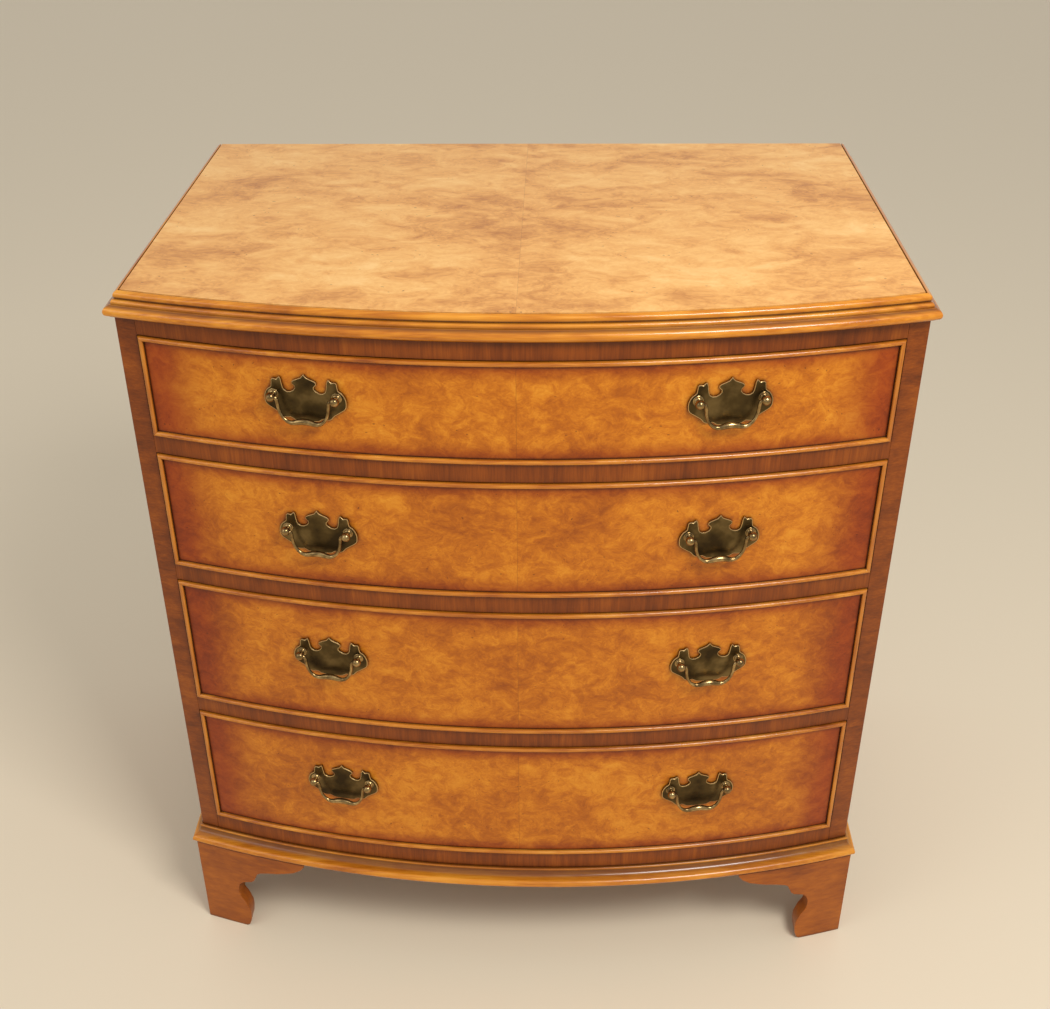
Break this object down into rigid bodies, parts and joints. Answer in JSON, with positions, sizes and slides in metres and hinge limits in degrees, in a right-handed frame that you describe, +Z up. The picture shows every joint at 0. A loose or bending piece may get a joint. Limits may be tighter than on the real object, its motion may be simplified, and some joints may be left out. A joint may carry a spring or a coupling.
{
  "type": "bow front chest of drawers",
  "caption": "Bow front walnut chest of graduated drawers with cockbeaded fronts, a moulded top, a moulded plinth on bracket feet, and brass swan neck drop handles that swing.",
  "frame": {"origin": "on the floor, under the middle of the bounding box", "axes": "+Z up, the bowed front faces -Y, +X to the right as seen from the front"},
  "size_m": [0.8108, 0.54, 0.8618],
  "materials": {
    "top_veneer": "satin polished burr walnut, book matched",
    "burr_veneer": "satin polished burr walnut",
    "side_veneer": "satin polished figured walnut",
    "crossband": "satin polished cross grained walnut",
    "moulding": "polished walnut moulding, lightly worn",
    "foot": "satin polished walnut",
    "lining": "bare planed oak",
    "carcass_wood": "bare planed pine",
    "brass": "antique darkened brass, polished edges"
  },
  "bodies": {
    "carcass": {"top_board": "top_veneer", "top_moulding_front": "moulding", "base_moulding_front": "moulding", "top_moulding_left": "moulding", "base_moulding_left": "moulding", "top_moulding_right": "moulding", "base_moulding_right": "moulding", "side_left": "side_veneer", "side_right": "side_veneer", "back_panel": "carcass_wood", "dust_board_1": "carcass_wood", "dust_board_2": "carcass_wood", "dust_board_3": "carcass_wood", "bottom_board": "carcass_wood", "top_kicker_frame": "carcass_wood", "rail_top": "crossband", "rail_1": "crossband", "rail_2": "crossband", "rail_3": "crossband", "rail_bottom": "crossband", "foot_front_left": "foot", "foot_front_right": "foot", "foot_back_left": "foot", "foot_back_right": "foot"},
    "drawer_1": {"drawer_1_front": "burr_veneer", "drawer_1_side_left": "lining", "drawer_1_side_right": "lining", "drawer_1_back": "lining", "drawer_1_bottom": "lining", "drawer_1_backplate_left": "brass", "drawer_1_backplate_right": "brass"},
    "bail_1_left": {"drawer_1_bail_left": "brass"},
    "bail_1_right": {"drawer_1_bail_right": "brass"},
    "drawer_2": {"drawer_2_front": "burr_veneer", "drawer_2_side_left": "lining", "drawer_2_side_right": "lining", "drawer_2_back": "lining", "drawer_2_bottom": "lining", "drawer_2_backplate_left": "brass", "drawer_2_backplate_right": "brass"},
    "bail_2_left": {"drawer_2_bail_left": "brass"},
    "bail_2_right": {"drawer_2_bail_right": "brass"},
    "drawer_3": {"drawer_3_front": "burr_veneer", "drawer_3_side_left": "lining", "drawer_3_side_right": "lining", "drawer_3_back": "lining", "drawer_3_bottom": "lining", "drawer_3_backplate_left": "brass", "drawer_3_backplate_right": "brass"},
    "bail_3_left": {"drawer_3_bail_left": "brass"},
    "bail_3_right": {"drawer_3_bail_right": "brass"},
    "drawer_4": {"drawer_4_front": "burr_veneer", "drawer_4_side_left": "lining", "drawer_4_side_right": "lining", "drawer_4_back": "lining", "drawer_4_bottom": "lining", "drawer_4_backplate_left": "brass", "drawer_4_backplate_right": "brass"},
    "bail_4_left": {"drawer_4_bail_left": "brass"},
    "bail_4_right": {"drawer_4_bail_right": "brass"}
  },
  "joints": [
    {"name": "drawer_1_slide", "type": "slide", "parent": "carcass", "child": "drawer_1", "axis": [0, -1, 0], "range_m": [0, 0.33]},
    {"name": "bail_1_left_swing", "type": "hinge", "parent": "drawer_1", "child": "bail_1_left", "pos_m": [-0.20566, -0.2484, 0.77155], "axis": [-0.9877, 0.1566, 0], "range_deg": [-12, 190]},
    {"name": "bail_1_right_swing", "type": "hinge", "parent": "drawer_1", "child": "bail_1_right", "pos_m": [0.20566, -0.2484, 0.77155], "axis": [-0.9877, -0.1566, 0], "range_deg": [-12, 190]},
    {"name": "drawer_2_slide", "type": "slide", "parent": "carcass", "child": "drawer_2", "axis": [0, -1, 0], "range_m": [0, 0.33]},
    {"name": "bail_2_left_swing", "type": "hinge", "parent": "drawer_2", "child": "bail_2_left", "pos_m": [-0.20566, -0.2484, 0.61755], "axis": [-0.9877, 0.1566, 0], "range_deg": [-12, 190]},
    {"name": "bail_2_right_swing", "type": "hinge", "parent": "drawer_2", "child": "bail_2_right", "pos_m": [0.20566, -0.2484, 0.61755], "axis": [-0.9877, -0.1566, 0], "range_deg": [-12, 190]},
    {"name": "drawer_3_slide", "type": "slide", "parent": "carcass", "child": "drawer_3", "axis": [0, -1, 0], "range_m": [0, 0.33]},
    {"name": "bail_3_left_swing", "type": "hinge", "parent": "drawer_3", "child": "bail_3_left", "pos_m": [-0.20566, -0.2484, 0.45635], "axis": [-0.9877, 0.1566, 0], "range_deg": [-12, 190]},
    {"name": "bail_3_right_swing", "type": "hinge", "parent": "drawer_3", "child": "bail_3_right", "pos_m": [0.20566, -0.2484, 0.45635], "axis": [-0.9877, -0.1566, 0], "range_deg": [-12, 190]},
    {"name": "drawer_4_slide", "type": "slide", "parent": "carcass", "child": "drawer_4", "axis": [0, -1, 0], "range_m": [0, 0.33]},
    {"name": "bail_4_left_swing", "type": "hinge", "parent": "drawer_4", "child": "bail_4_left", "pos_m": [-0.20566, -0.2484, 0.2723], "axis": [-0.9877, 0.1566, 0], "range_deg": [-12, 190]},
    {"name": "bail_4_right_swing", "type": "hinge", "parent": "drawer_4", "child": "bail_4_right", "pos_m": [0.20566, -0.2484, 0.2723], "axis": [-0.9877, -0.1566, 0], "range_deg": [-12, 190]}
  ]
}
